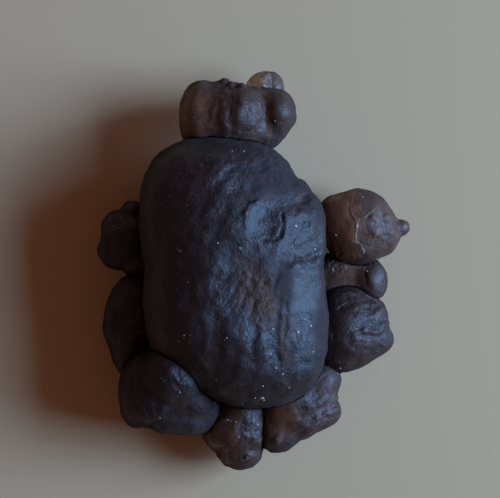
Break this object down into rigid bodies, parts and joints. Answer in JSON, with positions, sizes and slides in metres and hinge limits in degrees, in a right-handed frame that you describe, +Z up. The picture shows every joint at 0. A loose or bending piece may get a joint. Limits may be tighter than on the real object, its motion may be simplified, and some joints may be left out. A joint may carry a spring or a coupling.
{
  "type": "chalcedony nodule",
  "caption": "Rough smoky chalcedony nodule: a dark loaf-shaped dome ringed by rounded grape-like lobes, cut flat underneath to rest on.",
  "frame": {"origin": "centre of the bounding box at its lowest plane, the flat underside", "axes": "+Z up out of the flat underside, +Y along the stone's length towards the three-lobed head, +X towards the pear-shaped lobe with the small nipple"},
  "size_m": [0.0394, 0.0504, 0.0205],
  "materials": {
    "smoky_chalcedony": "waxy, uneven natural skin"
  },
  "bodies": {
    "root": {"nodule": "smoky_chalcedony"}
  },
  "joints": []
}
